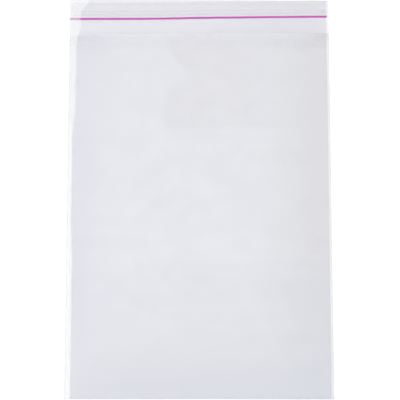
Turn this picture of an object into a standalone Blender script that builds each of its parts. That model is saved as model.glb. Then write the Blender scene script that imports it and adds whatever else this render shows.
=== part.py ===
"""Self-seal plastic bag for an A4 sheet, lying flat on its back with the lip laid open.

One web of clear film is folded at the bottom and welded along both sides. The back panel
runs on past the mouth as a lip, which carries the adhesive strip and its release liner.
X is across the bag, Y runs from the bottom fold to the lip, and Z is up. The origin is
under the middle of the bag, on the surface that it lies on. All sizes are in metres.
"""

import math

import bmesh
import bpy

# Film
bag_width = 0.220
bag_depth = 0.310
lip_length = 0.030
film_thickness = 0.00005

# Side welds, cut and sealed by a hot knife that leaves a rounded bead
weld_width = 0.0015
bead_width = 0.0006
bead_height = 0.00010

# How far the front panel stands off the back panel
fold_gap = 0.0003
belly_rise = 0.0064
mouth_rise = 0.0058
belly_reach = 0.060
arch_power = 3.4
mouth_draw = 0.0012
mouth_draw_power = 3

# Soft waves in the front panel
wave_height = 0.00028
wave_pitch = 0.064
wave_angle = math.radians(24)
wave_bend = 0.009
wave_bend_pitch = 0.190

# Adhesive strip and release liner on the lip, both measured from the lip's edge
adhesive_offset = 0.0086
adhesive_width = 0.0045
adhesive_thickness = 0.00004
adhesive_edge = 0.5
liner_offset = 0.0014
liner_width = 0.0153
liner_thickness = 0.00006
liner_ramp = 0.0010
print_width = 0.0014
print_inset = 0.0002
tape_skew = 0.0024
seat_gap = 0.0002

# Facets
inner_columns = 28
bead_columns = 3
belly_rows = 9
body_rows = 36
lip_rows = 4
fold_segments = 4
ramp_segments = 4
tape_columns = 8
adhesive_rows = 6
join_distance = 0.000001

half_width = bag_width / 2
half_inner = half_width - weld_width
bottom = -(bag_depth + lip_length) / 2
mouth = bottom + bag_depth
lip_edge = mouth + lip_length


def spread(start, end, count):
    """Evenly spaced values from start to end, both included."""
    return [start + (end - start) * i / count for i in range(count + 1)]


def pouch_columns():
    """Places across the inside of the pouch, from weld to weld."""
    return spread(-half_inner, half_inner, inner_columns)


def film_columns():
    """Places across the whole bag: bead, weld, inside of the pouch, weld and bead."""
    beads = spread(half_width, half_width - bead_width, bead_columns)
    return [-x for x in beads] + pouch_columns() + beads[::-1]


def stations():
    """Distances from the bottom fold to the mouth, closer together near the fold."""
    start = [belly_reach * (i / belly_rows) ** 1.5 for i in range(belly_rows)]
    return start + spread(belly_reach, bag_depth, body_rows)


def arch(x):
    """Share of the full rise across the bag: 1 in the middle, 0 at the welds."""
    return max(0.0, 1 - abs(x / half_inner) ** arch_power)


def rise(station):
    """Gap between the panels along the middle of the bag."""
    if station < belly_reach:
        share = math.sin(math.pi / 2 * station / belly_reach)
        return fold_gap + (belly_rise - fold_gap) * share
    share = (station - belly_reach) / (bag_depth - belly_reach)
    return mouth_rise + (belly_rise - mouth_rise) * (1 + math.cos(math.pi * share)) / 2


def wave(x, station):
    """Soft slanting waves, gone at the fold and at the mouth."""
    bend = wave_bend * math.sin(2 * math.pi * station / wave_bend_pitch)
    slant = (x + bend) * math.cos(wave_angle) + station * math.sin(wave_angle)
    fade = math.sin(math.pi * station / bag_depth)
    return wave_height * fade * math.sin(2 * math.pi * slant / wave_pitch)


def gap(x, station):
    """Gap between the two panels."""
    return arch(x) * (rise(station) + wave(x, station))


def layer_height(x, layers):
    """Thickness of welded film layers, with the rounded bead along the cut edge."""
    share = min(1.0, (half_width - abs(x)) / bead_width)
    film = layers * film_thickness * math.sin(math.pi / 2 * share)
    return film + bead_height * math.sin(math.pi * share)


def fold_radius(x):
    """Outer radius of the bottom fold."""
    return (layer_height(x, 2) + gap(x, 0)) / 2


def row_y(x, station):
    """Place along the bag. The first row starts where the rounded fold ends."""
    return bottom + (station if station > 0 else fold_radius(x))


def front_y(x, station):
    """As row_y, with the lifted middle of the mouth drawn back."""
    draw = mouth_draw * arch(x) * (station / bag_depth) ** mouth_draw_power
    return row_y(x, station) - draw


def fold_row(x_values, radius_of, base, angle):
    """One row of points round the bottom fold."""
    row = []
    for x in x_values:
        radius = radius_of(x)
        y = row_y(x, 0) - radius * math.sin(angle)
        row.append((x, y, base + radius * (1 - math.cos(angle))))
    return row


def split_cell(bm, a, b, c, d):
    """Two triangles whose shared edge leans the same way on both faces of the film."""
    along = a.co.y < d.co.y
    left = a.co.x + b.co.x < 0
    corners = ((a, b, c), (a, c, d)) if along == left else ((a, b, d), (b, c, d))
    for corner in corners:
        bm.faces.new(corner)


def skin(bm, rows):
    """Faces between neighbouring rows of points."""
    grid = [[bm.verts.new(point) for point in row] for row in rows]
    for near, far in zip(grid, grid[1:]):
        for i in range(len(near) - 1):
            split_cell(bm, near[i], near[i + 1], far[i + 1], far[i])


def close_seams(bm):
    """Joins skins that share an edge, and points every face outwards."""
    bmesh.ops.remove_doubles(bm, verts=bm.verts, dist=join_distance)
    bmesh.ops.recalc_face_normals(bm, faces=bm.faces)


def film_outside(bm, x_values, body):
    """Underside, bottom fold and front panel, up to the mouth."""
    angles = spread(0, math.pi, fold_segments)
    underside = [[(x, row_y(x, s), 0) for x in x_values] for s in reversed(body)]
    fold = [fold_row(x_values, fold_radius, 0, angle) for angle in angles[1:-1]]
    front = [
        [(x, front_y(x, s), layer_height(x, 2) + gap(x, s)) for x in x_values] for s in body
    ]
    skin(bm, underside + fold + front)


def film_inside(bm, body):
    """The pouch: under the front panel, round the fold and over the back panel."""
    x_values = pouch_columns()
    angles = spread(math.pi, 0, fold_segments)
    front = [
        [(x, front_y(x, s), film_thickness + gap(x, s)) for x in x_values]
        for s in reversed(body)
    ]
    fold = [
        fold_row(x_values, lambda x: gap(x, 0) / 2, film_thickness, angle)
        for angle in angles[1:-1]
    ]
    back = [[(x, row_y(x, s), film_thickness) for x in x_values] for s in body]
    skin(bm, front + fold + back)


def film_mouth_and_lip(bm, x_values):
    """The front panel's cut edge, the lip's two faces and its cut end."""
    upper = [(x, front_y(x, bag_depth), layer_height(x, 2) + gap(x, bag_depth)) for x in x_values]
    lower = [(x, front_y(x, bag_depth), layer_height(x, 1) + gap(x, bag_depth)) for x in x_values]
    skin(bm, [upper, lower])
    along = spread(mouth, lip_edge, lip_rows)
    top = [[(x, y, layer_height(x, 1)) for x in x_values] for y in along]
    under = [[(x, y, 0) for x in x_values] for y in reversed(along)]
    skin(bm, top + under)


def smooth_step(share):
    """Eases from 0 to 1 as share goes from 0 to 1."""
    share = min(max(share, 0.0), 1.0)
    return share * share * (3 - 2 * share)


def tape_row(x_values, offset, z):
    """Points across the bag at one distance from the lip's edge, along the skewed tape."""
    return [(x, lip_edge - offset + tape_skew * x / bag_width, z) for x in x_values]


def tape_sheet(bm, offsets, low, thickness):
    """A closed sheet along the lip. low and thickness are functions of the offset."""
    x_values = spread(-half_width, half_width, tape_columns)
    under = [tape_row(x_values, d, low(d)) for d in offsets]
    over = [tape_row(x_values, d, low(d) + thickness(d)) for d in offsets]
    skin(bm, under + over[::-1] + under[:1])
    for end in (0, -1):
        skin(bm, [[row[end] for row in under], [row[end] for row in over]])
    close_seams(bm)


def adhesive_low(offset):
    """Underside of the adhesive, seated on the lip."""
    return film_thickness + seat_gap


def adhesive_crown(offset):
    """The adhesive's thickness, fuller in the middle than at its edges."""
    across = (offset - adhesive_offset) / adhesive_width
    return adhesive_thickness * (adhesive_edge + (1 - adhesive_edge) * math.sin(math.pi * across))


def liner_low(offset):
    """Underside of the liner: close to the lip, and raised where it passes over the adhesive."""
    first = adhesive_offset - seat_gap
    last = adhesive_offset + adhesive_width + seat_gap
    outside = max(first - offset, offset - last, 0.0)
    raised = 1 - smooth_step(outside / liner_ramp)
    return film_thickness + seat_gap + raised * (adhesive_thickness + seat_gap)


def liner_offsets():
    """Distances from the lip's edge across the liner, with its ramps and its printed line."""
    foot = liner_offset + liner_width
    first = adhesive_offset - seat_gap
    last = adhesive_offset + adhesive_width + seat_gap
    ramps = spread(first - liner_ramp, first, ramp_segments)
    ramps += spread(last, last + liner_ramp, ramp_segments)
    inside = [d for d in ramps + list(print_offsets()) if liner_offset < d < foot]
    return [liner_offset] + sorted(inside) + [foot]


def print_offsets():
    """The printed line's upper and lower edge."""
    foot = liner_offset + liner_width - print_inset
    return foot - print_width, foot


def material(name, colour, roughness, alpha=1.0):
    """A plain Principled material."""
    made = bpy.data.materials.new(name)
    made.use_nodes = True
    shader = made.node_tree.nodes["Principled BSDF"]
    shader.inputs["Base Color"].default_value = (*colour, 1.0)
    shader.inputs["Roughness"].default_value = roughness
    shader.inputs["Metallic"].default_value = 0.0
    shader.inputs["Alpha"].default_value = alpha
    return made


def add_object(name, bm, *materials):
    """Puts a finished mesh into the scene as a smooth-shaded object."""
    mesh = bpy.data.meshes.new(name)
    bm.to_mesh(mesh)
    bm.free()
    for made in materials:
        mesh.materials.append(made)
    mesh.shade_smooth()
    mesh.set_sharp_from_angle(angle=math.radians(40))
    made = bpy.data.objects.new(name, mesh)
    bpy.context.collection.objects.link(made)
    return made


def make_bag_film():
    """The folded and welded web, with a real hollow between its panels."""
    bm = bmesh.new()
    x_values = film_columns()
    body = stations()
    film_outside(bm, x_values, body)
    film_inside(bm, body)
    film_mouth_and_lip(bm, x_values)
    close_seams(bm)
    film = material("clear_film", (0.86, 0.87, 0.90), 0.12, 0.4)
    return add_object("bag_film", bm, film)


def make_adhesive_strip():
    """The adhesive, a thin crowned line from one cut edge of the lip to the other."""
    bm = bmesh.new()
    offsets = spread(adhesive_offset, adhesive_offset + adhesive_width, adhesive_rows)
    tape_sheet(bm, offsets, adhesive_low, adhesive_crown)
    adhesive = material("clear_adhesive", (0.84, 0.84, 0.85), 0.35, 0.6)
    return add_object("adhesive_strip", bm, adhesive)


def make_release_liner():
    """The peel-off liner, which drapes over the adhesive, with its printed line."""
    bm = bmesh.new()
    tape_sheet(bm, liner_offsets(), liner_low, lambda offset: liner_thickness)
    upper, lower = print_offsets()
    for face in bm.faces:
        centre = face.calc_center_median()
        offset = lip_edge + tape_skew * centre.x / bag_width - centre.y
        face.material_index = int(upper < offset < lower)
    liner = material("liner_film", (0.80, 0.80, 0.83), 0.3, 0.8)
    ink = material("magenta_print", (0.75, 0.06, 0.38), 0.35)
    return add_object("release_liner", bm, liner, ink)


def main():
    for old in list(bpy.data.objects):
        bpy.data.objects.remove(old)
    make_bag_film()
    make_adhesive_strip()
    make_release_liner()


main()
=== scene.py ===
"""Looks of the self-seal plastic bag: clear film, release liner, adhesive, light and camera.

X is across the bag, Y runs from the bottom fold to the lip, and Z is up, in metres.
"""

import math

import bpy
from mathutils import Matrix, Vector


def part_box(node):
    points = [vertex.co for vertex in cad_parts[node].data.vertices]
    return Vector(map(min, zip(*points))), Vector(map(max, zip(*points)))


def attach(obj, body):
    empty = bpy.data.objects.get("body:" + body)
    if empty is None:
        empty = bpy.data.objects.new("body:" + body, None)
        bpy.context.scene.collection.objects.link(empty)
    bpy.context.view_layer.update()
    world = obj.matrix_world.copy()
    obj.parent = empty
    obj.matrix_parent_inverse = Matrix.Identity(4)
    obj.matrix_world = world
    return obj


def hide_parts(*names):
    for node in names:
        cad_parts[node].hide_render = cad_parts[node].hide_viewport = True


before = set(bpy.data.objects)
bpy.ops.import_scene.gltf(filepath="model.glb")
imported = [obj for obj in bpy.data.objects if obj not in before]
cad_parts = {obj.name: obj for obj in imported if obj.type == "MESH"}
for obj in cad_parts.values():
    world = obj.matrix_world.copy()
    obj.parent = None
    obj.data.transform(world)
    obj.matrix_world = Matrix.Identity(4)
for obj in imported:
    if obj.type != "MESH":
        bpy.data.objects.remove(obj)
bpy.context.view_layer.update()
film_low, film_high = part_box("bag_film")

# The bag's own sizes
half_width = film_high.x
bottom = film_low.y
lip_edge = film_high.y
bag_width = 2 * half_width
lip_length = 0.030
mouth = lip_edge - lip_length
bag_depth = mouth - bottom
film_thickness = 0.00005
weld_width = 0.0015
half_inner = half_width - weld_width
weld_gap = 0.000006

# How far the front panel stands off the back panel
fold_gap = 0.0003
belly_rise = 0.0064
mouth_rise = 0.0058
belly_reach = 0.060
arch_power = 3.4

# The mouth's edge, drawn back in the middle and slightly askew
mouth_draw = 0.0012
mouth_skew = 0.0019
mouth_power = 3

# Long soft waves in the front panel
wave_height = 0.00028
wave_pitch = 0.064
wave_angle = math.radians(24)
wave_bend = 0.009
wave_bend_pitch = 0.190

# Small gathers beside the side welds
gather_height = 0.00012
gather_pitch = 0.0105
gather_wander = 2.2
gather_wander_pitch = 0.047
gather_reach = 0.009

# Soft creases in the front panel: start, end, height and half width
front_creases = (
    ((-0.030, 0.128), (-0.005, 0.101), 0.00022, 0.0050),
    ((-0.005, 0.101), (-0.036, 0.093), 0.00018, 0.0045),
    ((-0.032, 0.095), (-0.028, 0.048), 0.00016, 0.0060),
    ((-0.028, 0.052), (0.036, 0.042), 0.00018, 0.0055),
    ((0.034, 0.044), (0.036, 0.006), 0.00016, 0.0060),
    ((0.072, -0.088), (0.084, -0.140), 0.00024, 0.0055),
    ((0.092, -0.084), (0.101, -0.118), -0.00018, 0.0050),
    ((0.106, 0.020), (0.060, -0.030), 0.00014, 0.0080),
    ((-0.106, -0.150), (-0.060, -0.118), 0.00020, 0.0050),
    ((0.104, -0.160), (0.040, -0.140), 0.00016, 0.0060),
    ((-0.100, 0.060), (-0.070, -0.040), 0.00010, 0.0090),
)

# Gentle ripple of the free lip
ripple_height = 0.00008
ripple_pitch = 0.083
ripple_second_pitch = 0.037
corner_curl = 0.0007
corner_reach = 0.026

# Bead left along each side by the hot knife
bead_width = 0.0006
bead_height = 0.0002
bead_facets = 10
bead_rings = 240
bead_uneven = 0.16
bead_ripples = (410, 977)
bead_second = 0.6

# Adhesive and release liner, measured from the lip's edge
adhesive_offset = 0.0086
adhesive_width = 0.0045
adhesive_thickness = 0.00004
adhesive_wander = 0.00006
adhesive_ripples = (310, 790)
liner_offset = 0.0014
liner_width = 0.0153
liner_thickness = 0.00006
liner_ramp = 0.0010
tape_skew = 0.0027
tape_bow = 0.00055
bow_place = -0.050
bow_reach = 0.045
seat_gap = 0.0002
print_width = 0.00145
print_inset = 0.0003

# Places across the liner where it stands off in a small tunnel, and their size
tunnel_places = (-0.0550, -0.0124, 0.0404, 0.0737, 0.0788)
tunnel_height = 0.00012
tunnel_width = 0.0005
tunnel_from = 0.0120
tunnel_to = 0.0150

# Grid cells, with the film's columns drawn together towards the welds
side_crowding = 0.35
film_columns = 128
body_rows = 158
fold_rows = 8
lip_rows = 18
tape_columns = 300
liner_rows = 44
adhesive_rows = 14

# Edges under these angles are shaded smooth
sheet_smoothing = math.radians(40)
bead_smoothing = math.radians(60)

# Floor
floor_size = 12
floor_gap = 0.00005
floor_fade = (0.45, 0.90)
floor_glow = 0.25

# Camera, fitted to the bag's outline
image_size = 400
focal_pixels = 1800
sensor_width = 36
camera_distance = 1.5003
camera_shift = (-0.00056, 0.00399)
camera_tilt = (math.radians(-11.793), math.radians(0.556), math.radians(-0.011))

# Haze of one face of the film, and the share that a face mirrors when seen straight on
body_haze = 0.080
lip_haze = 0.188
liner_haze = 0.002
bead_haze = 0.090
face_on_gloss = 0.04
pressed_gloss = 0.008

# Colours of the film's haze, of the liner and its ink, of the beads and of the adhesive;
# the film's tints beside the painted reflection patch, to the right and low down are painted shade,
# and the margin tint is painted glare
film_tint = (0.737, 0.757, 0.808, 1)
reflection_shade_tint = (0.735, 0.738, 0.792, 1)
left_tint = (0.732, 0.742, 0.820, 1)
right_shade_tint = (0.740, 0.740, 0.780, 1)
low_shade_tint = (0.722, 0.738, 0.810, 1)
lip_tint = (0.750, 0.752, 0.815, 1)
glare_tint = (0.860, 0.870, 0.900, 1)
liner_tint = (0.70, 0.70, 0.77, 1)
ink_colour = (0.63, 0.054, 0.50, 1)
bead_tints = ((0.72, 0.72, 0.74, 1), (0.80, 0.80, 0.83, 1))
gel_tints = ((0.66, 0.66, 0.70, 1), (0.74, 0.74, 0.77, 1))

# How unevenly the film's haze lies: the even part, and what clouds, streaks and mottle add
even_share = 0.93
cloud_share = 0.06
streak_share = 0.06
mottle_share = 0.03

# The part of a noise's range that is used, and how far grains and slow changes swing the bead's haze
noise_span = (0.3, 0.7)
broad_span = (0.2, 0.8)
grain_swing = (0.7, 1.3)
slow_swing = (0.5, 1.4)
gel_haze = (0.005, 0.025)

# Roughness at the smoothest and the roughest places
film_roughness = (0.12, 0.20)
liner_roughness = (0.16, 0.26)
bead_roughness = (0.15, 0.30)
gel_roughness = (0.25, 0.45)

# Fine relief: its strength and depth, and the mottle's part of the film's relief
film_relief = (0.4, 0.00004)
liner_relief = (0.4, 0.00005)
bead_relief = (0.3, 0.00005)
mottle_relief = 0.6

# Haze that the liner's streaks and the adhesive's edges under it add
streak_haze = 0.010
upper_line_haze = 0.030
lower_line_haze = 0.036
pale_line_haze = -0.008

# Those lines: start and end from the lip's edge, softness and wander, and the upper one's fade
adhesive_end = adhesive_offset + adhesive_width
upper_line = (adhesive_offset, adhesive_offset + 0.0011, 0.0004, 0.0004)
lower_line = (adhesive_end - 0.0013, adhesive_end, 0.0005, 0.0004)
pale_line = (adhesive_offset - 0.0010, adhesive_offset - 0.0002, 0.0003, 0.0004)
upper_line_fade = (0.0, 0.045)
upper_line_least = 0.2

# Printed line: softness and wander of its edges, how thin and how opaque its ink is
print_edges = (0.00012, 0.0005)
thinnest_ink = 0.84
ink_cover = 0.95
least_ink = 0.05
# How strongly the painted glare pales the ink
ink_glare_fade = 1.9

# How much denser the haze is in some parts of the body, near the mouth and at the fold. The denser
# parts beside the painted reflection patch, towards the right and low down are painted shade; near
# the mouth it is painted shade against the light under the raised front panel
denser_parts = {"Reflection shade": 0.09, "Left": 0.03, "Right": 0.27, "Low shade": 0.24}
mouth_shade_haze = ((-0.019, -0.002, 0.40), (-0.006, -0.001, 0.24))
denser_at_fold = 0.12
fold_reach = 0.003

# The lip: its haze grows to the right, less so under the liner, and is thinner past the liner
bare_lip = (0.0180, 0.0160)
under_liner_share = 0.3
denser_from = -0.020
denser_lip = 0.34
edge_band = (-0.010, liner_offset, 0.0003, 0.0)
edge_share = 0.80
mouth_softness = 0.0004

# Painted shade beside a painted reflection patch on the front panel: its left side, low side, fade
# to the right, and the notch in the left side, with its depth and the stretches along the bag where
# it deepens and closes
reflection_shade_left = -0.0285
reflection_shade_low = 0.058
reflection_shade_fade = (0.030, 0.085)
notch_depth = 0.023
notch_slope = (0.129, 0.101)
notch_foot = (0.092, 0.1005)

# Where the film changes towards the left, and where painted shade grows towards the right and
# towards the fold
left_fade = (-0.060, -0.100)
right_shade_fade = (0.045, 0.105)
low_shade_steps = ((-0.045, -0.080, 0.56), (-0.130, -0.162, 0.44))
low_left_fade = (-0.105, -0.045)
low_left_share = 0.4

# Painted glare along the left side, where the film is clearer and paler: its width, and where along
# the bag it grows and by how much
margin_width = 0.0034
margin_waver = 0.0018
margin_steps = (
    (-0.020, -0.060, 0.0012),
    (0.045, 0.080, 0.0022),
    (0.128, 0.150, 0.0036),
    (0.158, 0.168, 0.0062),
)

# How clear the margins are, which paints a glare on the left and the weld bead's highlight on the
# right: the left one lower and higher up, less on the lip, and the right one
glare_fade = (0.045, 0.080)
left_glare = (0.88, 0.72)
lip_glare = -0.32
lip_fade = 0.002
right_margin = (0.0026, 0.0012)
right_highlight = 0.55

# Studio light: an even sky, a soft overhead panel and a soft band low around the stage
sky_strength = 0.95
panel_strength = 0.65
panel_place = (-0.15, 0.17)
panel_reach = (0.30, 0.16)
band_strength = 0.5
band_height = 0.42
band_reach = 0.14
lowest_panel = 0.05


def smooth_step(share):
    """Eases from 0 to 1 as share goes from 0 to 1."""
    share = min(max(share, 0.0), 1.0)
    return share * share * (3 - 2 * share)


# The bag's form

def arch(x):
    """Share of the full rise across the bag: 1 in the middle, 0 at the welds."""
    return max(0.0, 1 - abs(x / half_inner) ** arch_power)


def rise(station):
    """Gap between the panels along the middle of the bag."""
    if station < belly_reach:
        share = math.sin(math.pi / 2 * station / belly_reach)
        return fold_gap + (belly_rise - fold_gap) * share
    share = (station - belly_reach) / (bag_depth - belly_reach)
    return mouth_rise + (belly_rise - mouth_rise) * (1 + math.cos(math.pi * share)) / 2


def wave(x, station):
    """Soft slanting waves, gone at the fold and at the mouth."""
    bend = wave_bend * math.sin(2 * math.pi * station / wave_bend_pitch)
    slant = (x + bend) * math.cos(wave_angle) + station * math.sin(wave_angle)
    fade = math.sin(math.pi * station / bag_depth)
    return wave_height * fade * math.sin(2 * math.pi * slant / wave_pitch)


def gathers(x, station):
    """Small ripples that the side welds draw into the film, fading inwards."""
    from_weld = half_inner - abs(x)
    if from_weld <= 0:
        return 0.0
    side = math.copysign(1.0, x)
    turn = station / gather_pitch + side
    wander = gather_wander * math.sin(2 * math.pi * station / gather_wander_pitch + side)
    fade = math.exp(-from_weld / gather_reach) * smooth_step(from_weld / gather_reach)
    return 2 * gather_height * fade * math.sin(2 * math.pi * turn + wander)


def crease(x, y, start, end, height, width):
    """Height of one soft crease, fading at both ends."""
    run = Vector(end) - Vector(start)
    offset = Vector((x, y)) - Vector(start)
    share = offset.dot(run) / run.length_squared
    if not 0 < share < 1:
        return 0.0
    across = abs(run.x * offset.y - run.y * offset.x) / run.length
    if across > 3 * width:
        return 0.0
    return height * math.sin(math.pi * share) * math.exp(-((across / width) ** 2))


def creases(x, y):
    """Height of all the front panel's creases together."""
    return sum(crease(x, y, *one) for one in front_creases)


def gap(x, station):
    """Gap between the two panels, with the film's folds and gathers."""
    soft = arch(x) * (rise(station) + wave(x, station) + creases(x, bottom + station))
    share = smooth_step(station / belly_reach)
    return max(weld_gap, soft + share * gathers(x, station))


def skew(x):
    """How much nearer to the lip's edge the slightly skewed mouth is at this place across."""
    return mouth_skew * x / bag_width


def row_y(x, station):
    """Place along the bag. The first row starts where the rounded fold ends."""
    start = film_thickness + gap(x, 0) / 2
    return bottom + max(station, start) + skew(x) * (station / bag_depth) ** mouth_power


def front_y(x, station):
    """As row_y, with the lifted middle of the mouth drawn back."""
    draw = mouth_draw * arch(x) * (station / bag_depth) ** mouth_power
    return row_y(x, station) - draw


def lip_lift(x, y):
    """How far the free lip stands off the surface: a gentle ripple and one curled corner."""
    out = smooth_step((y - mouth) / lip_length)
    first = 1 + math.sin(2 * math.pi * x / ripple_pitch)
    second = 1 + math.sin(2 * math.pi * x / ripple_second_pitch + 1)
    ripple = ripple_height * (first + second / 2) / 2
    corner = max(0.0, 1 - math.hypot(x + half_width, lip_edge - y) / corner_reach)
    return out * ripple + corner_curl * corner ** 2


def film_place(across, row):
    """A point of the web's inner face, on its way from the mouth round the fold to the lip."""
    edge = half_width - film_thickness
    crowded = math.sin(math.pi * (across - 0.5))
    even = 2 * (across - 0.5)
    x = edge * (crowded * side_crowding + even * (1 - side_crowding))
    station = bag_depth / body_rows
    if row <= body_rows:
        along = bag_depth - row * station
        return x, front_y(x, along), film_thickness + gap(x, along)
    row -= body_rows
    if row < fold_rows:
        radius = gap(x, 0) / 2
        angle = math.pi * (1 - row / fold_rows)
        y = row_y(x, 0) - radius * math.sin(angle)
        return x, y, film_thickness + radius * (1 - math.cos(angle))
    row -= fold_rows
    if row <= body_rows:
        return x, row_y(x, row * station), film_thickness
    share = (row - body_rows) / lip_rows
    y = mouth + skew(x) + share * (lip_length - skew(x))
    return x, y, film_thickness + lip_lift(x, y)


def tape_y(x, offset):
    """Place along the bag at one distance from the lip's edge, along the askew and bowed tape."""
    bow = tape_bow * math.exp(-(((x - bow_place) / bow_reach) ** 2))
    return lip_edge - offset + tape_skew * x / bag_width - bow


def tunnels(x, offset):
    """Small tunnels where the liner isn't pressed down."""
    if not tunnel_from < offset < tunnel_to:
        return 0.0
    share = (offset - tunnel_from) / (tunnel_to - tunnel_from)
    reach = sum(math.exp(-(((x - place) / tunnel_width) ** 2)) for place in tunnel_places)
    return tunnel_height * math.sin(math.pi * share) * reach


def liner_raise(offset):
    """1 where the liner passes over the adhesive, 0 beside it."""
    first = adhesive_offset - seat_gap
    last = adhesive_offset + adhesive_width + seat_gap
    outside = max(first - offset, offset - last, 0.0)
    return 1 - smooth_step(outside / liner_ramp)


# Meshes

def add_grid(name, columns, rows):
    """A flat grid, one unit wide and long."""
    bpy.ops.object.select_all(action="DESELECT")
    bpy.ops.mesh.primitive_grid_add(x_subdivisions=columns, y_subdivisions=rows, size=1)
    sheet = bpy.context.object
    sheet.name = sheet.data.name = name
    return sheet


def place_vertices(sheet, rows, place):
    """Moves each vertex of a grid to place(share across, row number)."""
    for vertex in sheet.data.vertices:
        row = round((vertex.co.y + 0.5) * rows)
        vertex.co = place(vertex.co.x + 0.5, row)


def thicken(sheet, thickness, offset):
    """Gives a sheet its thickness and smooth faces."""
    solid = sheet.modifiers.new("Thickness", "SOLIDIFY")
    solid.thickness = thickness
    solid.offset = offset
    bpy.ops.object.modifier_apply(modifier=solid.name)
    bpy.ops.object.shade_smooth_by_angle(angle=sheet_smoothing)


def weld_sides(sheet):
    """Joins the front and back panels along their side edges."""
    edge = half_width - 2 * film_thickness
    for vertex in sheet.data.vertices:
        vertex.select = abs(vertex.co.x) > edge and vertex.co.y < mouth + mouth_skew
    bpy.ops.object.mode_set(mode="EDIT")
    bpy.ops.mesh.remove_doubles(threshold=film_thickness / 2)
    bpy.ops.mesh.select_all(action="DESELECT")
    bpy.ops.object.mode_set(mode="OBJECT")


def make_film():
    """The folded web: front panel, bottom fold, back panel and lip in one sheet."""
    rows = 2 * body_rows + fold_rows + lip_rows
    sheet = add_grid("bag_web", film_columns, rows)
    place_vertices(sheet, rows, film_place)
    bpy.ops.object.mode_set(mode="EDIT")
    bpy.ops.mesh.select_all(action="DESELECT")
    bpy.ops.mesh.select_mode(type="VERT")
    bpy.ops.object.mode_set(mode="OBJECT")
    weld_sides(sheet)
    thicken(sheet, film_thickness, -1)
    return sheet


def make_liner():
    """The release liner, draped over the adhesive, with small tunnels."""

    def place(across, row):
        x = bag_width * (across - 0.5)
        offset = liner_offset + liner_width * (liner_rows - row) / liner_rows
        y = tape_y(x, offset)
        low = film_thickness + seat_gap + lip_lift(x, y)
        raised = liner_raise(offset) * (adhesive_thickness + seat_gap)
        return x, y, low + raised + tunnels(x, offset)

    sheet = add_grid("liner_strip", tape_columns, liner_rows)
    place_vertices(sheet, liner_rows, place)
    thicken(sheet, liner_thickness, 1)
    return sheet


def make_adhesive():
    """The adhesive line, fuller in the middle and slightly uneven along its edges."""

    def place(across, row):
        x = bag_width * (across - 0.5)
        share = row / adhesive_rows
        slow, quick = adhesive_ripples
        wander = adhesive_wander * (2 * math.sin(x * slow) + math.sin(x * quick + 1))
        offset = adhesive_offset + adhesive_width * (1 - share) + wander
        y = tape_y(x, offset)
        low = film_thickness + seat_gap / 2 + lip_lift(x, y)
        return x, y, low + adhesive_thickness * 0.5 * math.sin(math.pi * share)

    sheet = add_grid("adhesive_line", tape_columns, adhesive_rows)
    place_vertices(sheet, adhesive_rows, place)
    thicken(sheet, adhesive_thickness, 1)
    return sheet


def make_bead(name, side):
    """The rounded, slightly uneven bead along one side weld."""
    bpy.ops.object.select_all(action="DESELECT")
    bpy.ops.mesh.primitive_cylinder_add(vertices=bead_facets, radius=1, depth=1)
    bead = bpy.context.object
    bead.name = bead.data.name = name
    bpy.ops.object.mode_set(mode="EDIT")
    bpy.ops.mesh.select_mode(type="EDGE")
    bpy.ops.mesh.select_all(action="DESELECT")
    bpy.ops.object.mode_set(mode="OBJECT")
    for edge in bead.data.edges:
        first, second = (bead.data.vertices[index].co for index in edge.vertices)
        edge.select = abs(first.z - second.z) > 0.5
    bpy.ops.object.mode_set(mode="EDIT")
    bpy.ops.mesh.subdivide(number_cuts=bead_rings)
    bpy.ops.mesh.select_all(action="DESELECT")
    bpy.ops.object.mode_set(mode="OBJECT")
    length = bag_depth + skew(side * half_width)
    for vertex in bead.data.vertices:
        across, up, along = vertex.co
        y = bottom + (along + 0.5) * length
        slow, quick = bead_ripples
        wander = math.sin(y * slow + side) + bead_second * math.sin(y * quick + 2 * side)
        size = (1 + bead_uneven * wander / (1 + bead_second)) / (1 + bead_uneven)
        x = half_width - bead_width / 2 * (1 - across * size)
        vertex.co = side * x, y, bead_height / 2 * (1 + up * size)
    if side < 0:
        bpy.ops.object.mode_set(mode="EDIT")
        bpy.ops.mesh.select_all(action="SELECT")
        bpy.ops.mesh.normals_make_consistent(inside=False)
        bpy.ops.mesh.select_all(action="DESELECT")
        bpy.ops.object.mode_set(mode="OBJECT")
    bpy.ops.object.shade_smooth_by_angle(angle=bead_smoothing)
    return bead


# Materials

def new_group(name, inputs, outputs):
    """An empty shader node group with named sockets."""
    group = bpy.data.node_groups.new(name, "ShaderNodeTree")
    for label, default in inputs:
        socket = group.interface.new_socket(label, in_out="INPUT", socket_type="NodeSocketFloat")
        socket.default_value = default
    for label in outputs:
        group.interface.new_socket(label, in_out="OUTPUT", socket_type="NodeSocketFloat")
    return group


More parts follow.
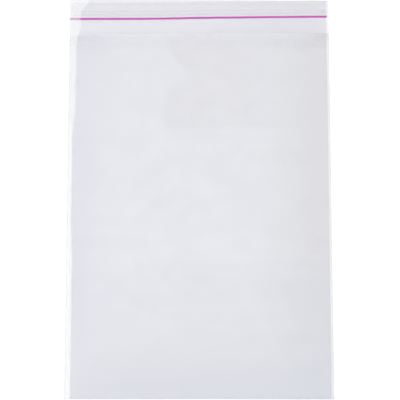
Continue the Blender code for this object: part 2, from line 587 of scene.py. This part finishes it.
class Nodes:
    """Short ways to add and join nodes in one tree."""

    def __init__(self, tree):
        self.tree = tree

    def add(self, kind, **values):
        node = self.tree.nodes.new(kind)
        for name, value in values.items():
            setattr(node, name, value)
        return node

    def join(self, source, target):
        self.tree.links.new(source, target)

    def feed(self, socket, value):
        """Sets a socket to a number, or joins it to another socket."""
        if isinstance(value, (int, float, tuple)):
            socket.default_value = value
        else:
            self.join(value, socket)

    def math(self, operation, *values, clamp=False):
        node = self.add("ShaderNodeMath", operation=operation, use_clamp=clamp)
        for socket, value in zip(node.inputs, values):
            self.feed(socket, value)
        return node.outputs[0]

    def ease(self, value, low, high, to_low=0.0, to_high=1.0, kind="SMOOTHSTEP"):
        """Maps low..high to to_low..to_high, with soft ends unless kind is LINEAR."""
        node = self.add("ShaderNodeMapRange", interpolation_type=kind)
        numbers = (value, low, high, to_low, to_high)
        for name, number in zip(("Value", "From Min", "From Max", "To Min", "To Max"), numbers):
            self.feed(node.inputs[name], number)
        return node.outputs["Result"]

    def within(self, value, low, high, softness):
        """1 between low and high, with soft sides."""
        above = self.math("DIVIDE", self.math("SUBTRACT", value, low), softness)
        below = self.math("DIVIDE", self.math("SUBTRACT", high, value), softness)
        return self.ease(self.math("MINIMUM", above, below), -1.0, 1.0)

    def bell(self, value, centre, reach):
        """1 at centre, falling off smoothly over reach."""
        share = self.math("DIVIDE", self.math("SUBTRACT", value, centre), reach)
        square = self.math("MULTIPLY", share, share)
        return self.math("EXPONENT", self.math("MULTIPLY", square, -1.0))

    def place(self):
        """The X and Y Object coordinates."""
        coordinates = self.add("ShaderNodeTexCoord")
        parts = self.add("ShaderNodeSeparateXYZ")
        self.join(coordinates.outputs["Object"], parts.inputs[0])
        return parts.outputs[:2]

    def noise(self, x, y, x_scale, y_scale, detail=2.0, roughness=0.5, z=0.0):
        """Noise with its own scale along X and Y."""
        vector = self.add("ShaderNodeCombineXYZ")
        self.feed(vector.inputs[0], self.math("MULTIPLY", x, x_scale))
        self.feed(vector.inputs[1], self.math("MULTIPLY", y, y_scale))
        self.feed(vector.inputs[2], z)
        node = self.add("ShaderNodeTexNoise")
        self.join(vector.outputs[0], node.inputs["Vector"])
        self.feed(node.inputs["Scale"], 1.0)
        self.feed(node.inputs["Detail"], detail)
        self.feed(node.inputs["Roughness"], roughness)
        return node.outputs["Fac"]

    def group(self, group, **values):
        node = self.add("ShaderNodeGroup", node_tree=group)
        for name, value in values.items():
            self.feed(node.inputs[name.replace("_", " ").capitalize()], value)
        return node.outputs


def streak_group():
    """Fine streaks along the web, which ran across the bag when it was made."""
    group = new_group("Web streaks", (("Fineness", 1.0), ("Seed", 0.0)), ("Streaks",))
    nodes = Nodes(group)
    given = nodes.add("NodeGroupInput").outputs
    x, y = nodes.place()
    fine_y = nodes.math("MULTIPLY", y, given["Fineness"])
    broad = nodes.noise(x, fine_y, 3.0, 160.0, 3.0, 0.6, given["Seed"])
    thin = nodes.noise(x, fine_y, 9.0, 900.0, 2.0, 0.5, given["Seed"])
    both = nodes.math("ADD", nodes.math("MULTIPLY", broad, 0.6), nodes.math("MULTIPLY", thin, 0.4))
    out = nodes.add("NodeGroupOutput")
    nodes.join(nodes.ease(both, *noise_span), out.inputs["Streaks"])
    return group


def cloud_group():
    """Slow changes of haze over the film."""
    group = new_group("Haze clouds", (("Scale", 12.0), ("Seed", 0.0)), ("Clouds",))
    nodes = Nodes(group)
    given = nodes.add("NodeGroupInput").outputs
    x, y = nodes.place()
    cloud = nodes.noise(x, y, given["Scale"], given["Scale"], 3.0, 0.55, given["Seed"])
    out = nodes.add("NodeGroupOutput")
    nodes.join(nodes.ease(cloud, *noise_span), out.inputs["Clouds"])
    return group


def margin_group():
    """How clear the film is along its sides, which paints light there: a broad glare on the left,
    and a thin highlight of the weld bead on the right.
    """
    group = new_group("Clear margin", (("Softness", 0.0006),), ("Clearness",))
    nodes = Nodes(group)
    given = nodes.add("NodeGroupInput").outputs
    x, y = nodes.place()
    waver = nodes.math("SUBTRACT", nodes.noise(x, y, 0.0, 30.0, 3.0, 0.6, 6.0), 0.5)
    width = nodes.math("MULTIPLY_ADD", waver, margin_waver, margin_width)
    for start, end, wider in margin_steps:
        width = nodes.math("ADD", width, nodes.ease(y, start, end, 0.0, wider))
    inward = nodes.math("ADD", x, half_width)
    left = nodes.math("DIVIDE", nodes.math("SUBTRACT", inward, width), given["Softness"])
    left = nodes.ease(left, -1.0, 1.0, 1.0, 0.0)
    clearness = nodes.ease(y, *glare_fade, *left_glare)
    on_lip = nodes.ease(y, mouth - lip_fade, mouth + lip_fade, 0.0, lip_glare)
    left = nodes.math("MULTIPLY", left, nodes.math("ADD", clearness, on_lip))
    # The right margin's clearness paints the weld bead's highlight
    inner, outer = (half_width - inset for inset in right_margin)
    right = nodes.ease(x, inner, outer, 0.0, right_highlight)
    out = nodes.add("NodeGroupOutput")
    nodes.join(nodes.math("MAXIMUM", left, right), out.inputs["Clearness"])
    return group


def reflection_shade_group():
    """Painted shade beside a painted reflection patch on the front panel, a slow change towards the
    left, and painted shade towards the right and towards the fold.
    """
    inputs = (("Softness", 0.003), ("Wander", 0.008))
    group = new_group("Reflection shade", inputs, ("Reflection shade", "Left", "Right", "Low shade"))
    nodes = Nodes(group)
    given = nodes.add("NodeGroupInput").outputs
    x, y = nodes.place()
    waver = nodes.math("SUBTRACT", nodes.noise(x, y, 24.0, 24.0, 3.0, 0.55, 11.0), 0.5)
    near_x = nodes.math("MULTIPLY_ADD", waver, given["Wander"], x)
    waver = nodes.math("SUBTRACT", nodes.noise(x, y, 24.0, 24.0, 3.0, 0.55, 15.0), 0.5)
    near_y = nodes.math("MULTIPLY_ADD", waver, given["Wander"], y)
    notch = nodes.ease(near_y, *notch_slope, 0.0, notch_depth, "LINEAR")
    notch = nodes.math("MULTIPLY", notch, nodes.ease(near_y, *notch_foot, 0.0, 1.0, "LINEAR"))
    side = nodes.math("ADD", notch, reflection_shade_left)
    reflection_shade = nodes.within(near_x, side, 1.0, given["Softness"])
    reflection_shade = nodes.math("MULTIPLY", reflection_shade, nodes.within(near_y, reflection_shade_low, 1.0, given["Softness"]))
    reflection_shade = nodes.math("MULTIPLY", reflection_shade, nodes.ease(near_x, *reflection_shade_fade, 1.0, 0.0))
    out = nodes.add("NodeGroupOutput")
    nodes.join(reflection_shade, out.inputs["Reflection shade"])
    nodes.join(nodes.ease(near_x, *left_fade), out.inputs["Left"])
    nodes.join(nodes.ease(near_x, *right_shade_fade), out.inputs["Right"])
    first, second = (nodes.ease(near_y, start, end, 0.0, share) for start, end, share in low_shade_steps)
    low = nodes.math("ADD", first, second)
    low = nodes.math("MULTIPLY", low, nodes.ease(near_x, *low_left_fade, low_left_share, 1.0))
    nodes.join(low, out.inputs["Low shade"])
    return group


def tape_band_group():
    """1 between two distances from the lip's edge, measured along the skewed tape."""
    inputs = (("From", 0.0), ("To", 0.01), ("Softness", 0.0002), ("Wander", 0.0))
    group = new_group("Tape band", inputs, ("Band",))
    nodes = Nodes(group)
    given = nodes.add("NodeGroupInput").outputs
    x, y = nodes.place()
    skewed = nodes.math("MULTIPLY_ADD", x, tape_skew / bag_width, lip_edge)
    skewed = nodes.math("MULTIPLY_ADD", nodes.bell(x, bow_place, bow_reach), -tape_bow, skewed)
    offset = nodes.math("SUBTRACT", skewed, y)
    waver = nodes.math("SUBTRACT", nodes.noise(x, y, 22.0, 0.0, 3.0, 0.6, 4.0), 0.5)
    offset = nodes.math("MULTIPLY_ADD", waver, given["Wander"], offset)
    band = nodes.within(offset, given["From"], given["To"], given["Softness"])
    out = nodes.add("NodeGroupOutput")
    nodes.join(band, out.inputs["Band"])
    return group


def tape_band(nodes, groups, start, end, softness, wander):
    """A band along the tape, between two distances from the lip's edge."""
    values = {"from": start, "to": end, "softness": softness, "wander": wander}
    return nodes.group(groups["band"], **values)["Band"]


def new_material(name, ior, specular):
    """A material with one Principled shader, and its nodes."""
    material = bpy.data.materials.new(name)
    material.use_nodes = True
    nodes = Nodes(material.node_tree)
    shader = material.node_tree.nodes["Principled BSDF"]
    shader.inputs["IOR"].default_value = ior
    shader.inputs["Specular IOR Level"].default_value = specular
    return material, nodes, shader.inputs


def colour_mix(nodes, share, first, second):
    """Mixes two colours by a mask."""
    mix = nodes.add("ShaderNodeMix", data_type="RGBA")
    nodes.feed(mix.inputs[0], share)
    nodes.feed(mix.inputs[6], first)
    nodes.feed(mix.inputs[7], second)
    return mix.outputs[2]


def gloss_over(nodes, shader, haze, face_on):
    """Sets a film's alpha: its haze, and what it mirrors, which is least when seen face on."""
    facing = nodes.add("ShaderNodeLayerWeight").outputs["Facing"]
    glancing = nodes.math("POWER", facing, 5.0)
    mirror = nodes.math("MULTIPLY_ADD", glancing, 1 - face_on, face_on)
    mirror = nodes.math("MULTIPLY", mirror, nodes.math("SUBTRACT", 1.0, haze))
    alpha = nodes.math("ADD", mirror, haze)
    nodes.join(alpha, shader["Alpha"])
    nodes.join(nodes.math("DIVIDE", mirror, alpha), shader["Metallic"])


def raise_surface(nodes, shader, height, strength, distance):
    """Joins a height to the shader's normal."""
    bump = nodes.add("ShaderNodeBump")
    bump.inputs["Strength"].default_value = strength
    bump.inputs["Distance"].default_value = distance
    nodes.join(height, bump.inputs["Height"])
    nodes.join(bump.outputs[0], shader["Normal"])


def clear_film(groups):
    """Glossy clear film: light haze, a little denser on the lip, clearer and paler along the margins
    as painted glare, with denser haze as painted shade in places.
    """
    material, nodes, shader = new_material("clear_film", 1.5, 0.5)
    x, y = nodes.place()
    clouds = nodes.group(groups["clouds"], scale=9.0, seed=1.0)["Clouds"]
    mottle = nodes.group(groups["clouds"], scale=60.0, seed=5.0)["Clouds"]
    streaks = nodes.group(groups["streaks"], fineness=1.0, seed=2.0)["Streaks"]
    # clear is the painted glare along the left side and the painted highlight of the right weld bead
    clear = nodes.group(groups["margin"], softness=0.0006)["Clearness"]
    # Masks of painted shade beside a painted reflection patch, towards the right and low down, and
    # of a slow change towards the left
    places = nodes.group(groups["reflection_shade"], softness=0.003, wander=0.008)
    body = 1.0
    # Denser haze: painted shade beside the painted reflection patch, towards the right and low down,
    # and a slow change towards the left
    for part, denser in denser_parts.items():
        body = nodes.math("MULTIPLY_ADD", places[part], denser, body)
    past_mouth = nodes.math("SUBTRACT", y, mouth)
    from_mouth = nodes.math("MULTIPLY_ADD", x, -mouth_skew / bag_width, past_mouth)
    # Denser haze below the mouth: painted shade against the light that gets in under the raised
    # front panel
    for start, end, denser in mouth_shade_haze:
        body = nodes.math("ADD", body, nodes.ease(from_mouth, start, end, 0.0, denser))
    body = nodes.math("ADD", body, nodes.ease(y, bottom, bottom + fold_reach, denser_at_fold, 0.0))
    body = nodes.math("MULTIPLY", body, body_haze)
    bare_end, liner_start = (lip_edge - offset for offset in bare_lip)
    bare = nodes.ease(y, bare_end, liner_start, 1.0, under_liner_share)
    free = nodes.math("MULTIPLY", nodes.ease(x, denser_from, half_width, 0.0, denser_lip), bare)
    free = nodes.math("MULTIPLY_ADD", free, lip_haze, lip_haze)
    edge_strip = tape_band(nodes, groups, *edge_band)
    free = nodes.math("MULTIPLY", free, nodes.ease(edge_strip, 0.0, 1.0, 1.0, edge_share))
    on_lip = nodes.ease(from_mouth, -mouth_softness, mouth_softness)
    haze = nodes.ease(on_lip, 0.0, 1.0, body, free)
    uneven = nodes.math("MULTIPLY_ADD", clouds, cloud_share, even_share)
    uneven = nodes.math("MULTIPLY_ADD", streaks, streak_share, uneven)
    uneven = nodes.math("MULTIPLY_ADD", mottle, mottle_share, uneven)
    haze = nodes.math("MULTIPLY", haze, uneven)
    haze = nodes.math("MULTIPLY", haze, nodes.math("SUBTRACT", 1.0, clear))
    gloss_over(nodes, shader, haze, face_on_gloss)
    # Tints of painted shade beside the painted reflection patch, to the right and low down, and of
    # painted glare along the margins
    tint = colour_mix(nodes, places["Reflection shade"], film_tint, reflection_shade_tint)
    tint = colour_mix(nodes, places["Left"], tint, left_tint)
    tint = colour_mix(nodes, places["Right"], tint, right_shade_tint)
    tint = colour_mix(nodes, places["Low shade"], tint, low_shade_tint)
    tint = colour_mix(nodes, on_lip, tint, lip_tint)
    tint = colour_mix(nodes, clear, tint, glare_tint)
    nodes.join(tint, shader["Base Color"])
    nodes.join(nodes.ease(mottle, 0.0, 1.0, *film_roughness), shader["Roughness"])
    relief = nodes.math("MULTIPLY_ADD", mottle, mottle_relief, streaks)
    raise_surface(nodes, shader, relief, *film_relief)
    return material


def liner_film(groups):
    """The liner's film, with the magenta line printed near its lower edge."""
    material, nodes, shader = new_material("liner_film", 1.5, 0.5)
    x, y = nodes.place()
    foot = liner_offset + liner_width - print_inset
    streaks = nodes.group(groups["streaks"], fineness=2.2, seed=7.0)["Streaks"]
    clear = nodes.group(groups["margin"], softness=0.0012)["Clearness"]
    ink = tape_band(nodes, groups, foot - print_width, foot, *print_edges)
    thin_ink = nodes.noise(x, y, 90.0, 400.0, 3.0, 0.6, 3.0)
    strength = nodes.ease(thin_ink, 0.25, 0.6, thinnest_ink, 1.0)
    # The painted glare on the left pales the ink and the liner's haze
    glare_pale = nodes.math("MULTIPLY_ADD", clear, -ink_glare_fade, 1.0, clamp=True)
    ink = nodes.math("MULTIPLY", ink, nodes.math("MULTIPLY", strength, glare_pale))
    upper = tape_band(nodes, groups, *upper_line)
    upper = nodes.math("MULTIPLY", upper, nodes.ease(x, *upper_line_fade, 1.0, upper_line_least))
    lower = tape_band(nodes, groups, *lower_line)
    pale = tape_band(nodes, groups, *pale_line)
    haze = nodes.math("MULTIPLY_ADD", streaks, streak_haze, liner_haze)
    haze = nodes.math("MULTIPLY_ADD", upper, upper_line_haze, haze)
    haze = nodes.math("MULTIPLY_ADD", lower, lower_line_haze, haze)
    haze = nodes.math("MULTIPLY_ADD", pale, pale_line_haze, haze)
    haze = nodes.math("MULTIPLY", haze, glare_pale)
    alpha = nodes.math("MAXIMUM", haze, nodes.math("MULTIPLY", ink, ink_cover))
    gloss_over(nodes, shader, alpha, pressed_gloss)
    solid = nodes.math("GREATER_THAN", ink, least_ink)
    tint = colour_mix(nodes, solid, liner_tint, ink_colour)
    nodes.join(tint, shader["Base Color"])
    nodes.join(nodes.ease(streaks, 0.0, 1.0, *liner_roughness), shader["Roughness"])
    raise_surface(nodes, shader, streaks, *liner_relief)
    return material


def bead_film():
    """The welded bead: thicker, slightly milky film with small bubbles."""
    material, nodes, shader = new_material("bead_film", 1.5, 0.5)
    x, y = nodes.place()
    grains = nodes.noise(x, y, 500.0, 700.0, 2.0, 0.5, 13.0)
    slow = nodes.noise(x, y, 10.0, 26.0, 2.0, 0.5, 17.0)
    haze = nodes.math("MULTIPLY", nodes.ease(grains, *noise_span, *grain_swing), bead_haze)
    haze = nodes.math("MULTIPLY", nodes.ease(slow, *noise_span, *slow_swing), haze)
    gloss_over(nodes, shader, haze, face_on_gloss)
    tint = colour_mix(nodes, grains, *bead_tints)
    nodes.join(tint, shader["Base Color"])
    nodes.join(nodes.ease(grains, *broad_span, *bead_roughness), shader["Roughness"])
    raise_surface(nodes, shader, grains, *bead_relief)
    return material


def adhesive_gel(groups):
    """Clear pressure-sensitive adhesive, slightly milky."""
    material, nodes, shader = new_material("adhesive_gel", 1.47, 0.5)
    x, y = nodes.place()
    smear = nodes.noise(x, y, 60.0, 700.0, 3.0, 0.6, 9.0)
    clear = nodes.group(groups["margin"], softness=0.0012)["Clearness"]
    haze = nodes.ease(smear, *noise_span, *gel_haze)
    # Less haze under the painted glare along the margins
    haze = nodes.math("MULTIPLY", haze, nodes.math("SUBTRACT", 1.0, clear))
    nodes.join(haze, shader["Alpha"])
    tint = colour_mix(nodes, smear, *gel_tints)
    nodes.join(tint, shader["Base Color"])
    nodes.join(nodes.ease(smear, *broad_span, *gel_roughness), shader["Roughness"])
    return material


# Stage

def make_floor():
    """A plain white floor just under the bag, which stays white out to the horizon."""
    bpy.ops.object.select_all(action="DESELECT")
    bpy.ops.mesh.primitive_plane_add(size=floor_size, location=(0, 0, -floor_gap))
    floor = bpy.context.object
    floor.name = "floor"
    material = bpy.data.materials.new("white_floor")
    material.use_nodes = True
    nodes = Nodes(material.node_tree)
    shader = material.node_tree.nodes["Principled BSDF"].inputs
    shader["Base Color"].default_value = (1, 1, 1, 1)
    shader["Roughness"].default_value = 1.0
    shader["Specular IOR Level"].default_value = 0.0
    shader["Emission Color"].default_value = (1, 1, 1, 1)
    x, y = nodes.place()
    square = nodes.math("MULTIPLY_ADD", x, x, nodes.math("MULTIPLY", y, y))
    far = nodes.ease(nodes.math("SQRT", square), *floor_fade)
    seen = seen_directly(nodes)
    glow = nodes.math("MULTIPLY", nodes.math("MULTIPLY", far, seen), floor_glow)
    nodes.join(glow, shader["Emission Strength"])
    floor.data.materials.append(material)


def seen_directly(nodes):
    """1 for what the camera sees, also in a mirror or through a clear thing."""
    path = nodes.add("ShaderNodeLightPath").outputs
    seen = nodes.math("ADD", path["Is Camera Ray"], path["Is Glossy Ray"])
    return nodes.math("ADD", seen, path["Is Transmission Ray"], clamp=True)


def make_light():
    """An even pale sky, seen as white, with a soft panel overhead and a soft low band."""
    world = bpy.data.worlds.new("studio")
    bpy.context.scene.world = world
    world.use_nodes = True
    nodes = Nodes(world.node_tree)
    background = world.node_tree.nodes["Background"]
    background.inputs["Color"].default_value = (1, 1, 1, 1)
    direction = nodes.add("ShaderNodeTexCoord").outputs["Generated"]
    parts = nodes.add("ShaderNodeSeparateXYZ")
    nodes.join(direction, parts.inputs[0])
    x, y, z = parts.outputs
    up = nodes.math("MAXIMUM", z, lowest_panel)
    panel = nodes.bell(nodes.math("DIVIDE", x, up), panel_place[0], panel_reach[0])
    along = nodes.bell(nodes.math("DIVIDE", y, up), panel_place[1], panel_reach[1])
    panel = nodes.math("MULTIPLY", nodes.math("MULTIPLY", panel, along), panel_strength)
    panel = nodes.math("MULTIPLY", panel, nodes.math("GREATER_THAN", z, 0.0))
    band = nodes.math("MULTIPLY", nodes.bell(z, band_height, band_reach), band_strength)
    path = nodes.add("ShaderNodeLightPath").outputs
    plain = nodes.math("ADD", path["Is Camera Ray"], path["Is Transmission Ray"], clamp=True)
    sky = nodes.ease(seen_directly(nodes), 0.0, 1.0, sky_strength, 1.0)
    lit = nodes.math("ADD", sky, nodes.math("ADD", panel, band))
    nodes.join(nodes.ease(plain, 0.0, 1.0, lit, 1.0), background.inputs["Strength"])


def make_camera():
    """The photograph's view of the bag."""
    tilt_x, tilt_y, tilt_z = camera_tilt
    turn = Matrix.Rotation(tilt_x, 4, "X") @ Matrix.Rotation(tilt_y, 4, "Y")
    turn = turn @ Matrix.Rotation(tilt_z, 4, "Z")
    shift = Matrix.Translation((*camera_shift, -camera_distance))
    data = bpy.data.cameras.new("camera")
    data.sensor_width = sensor_width
    data.lens = focal_pixels / image_size * sensor_width
    camera = bpy.data.objects.new("camera", data)
    camera.matrix_world = (shift @ turn).inverted()
    bpy.context.scene.collection.objects.link(camera)
    bpy.context.scene.camera = camera


def finish_piece(piece, material, node):
    """Dresses a piece and ties it to the frame."""
    piece.data.materials.append(material)
    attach(piece, "root")
    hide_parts(node)


make_camera()
make_light()
make_floor()
groups = {
    "streaks": streak_group(),
    "clouds": cloud_group(),
    "margin": margin_group(),
    "reflection_shade": reflection_shade_group(),
    "band": tape_band_group(),
}
finish_piece(make_film(), clear_film(groups), "bag_film")
bead_look = bead_film()
finish_piece(make_bead("weld_bead_left", -1), bead_look, "bag_film")
finish_piece(make_bead("weld_bead_right", 1), bead_look, "bag_film")
finish_piece(make_adhesive(), adhesive_gel(groups), "adhesive_strip")
finish_piece(make_liner(), liner_film(groups), "release_liner")

scene = bpy.context.scene
scene.view_settings.view_transform = "Standard"
scene.cycles.transparent_max_bounces = 48
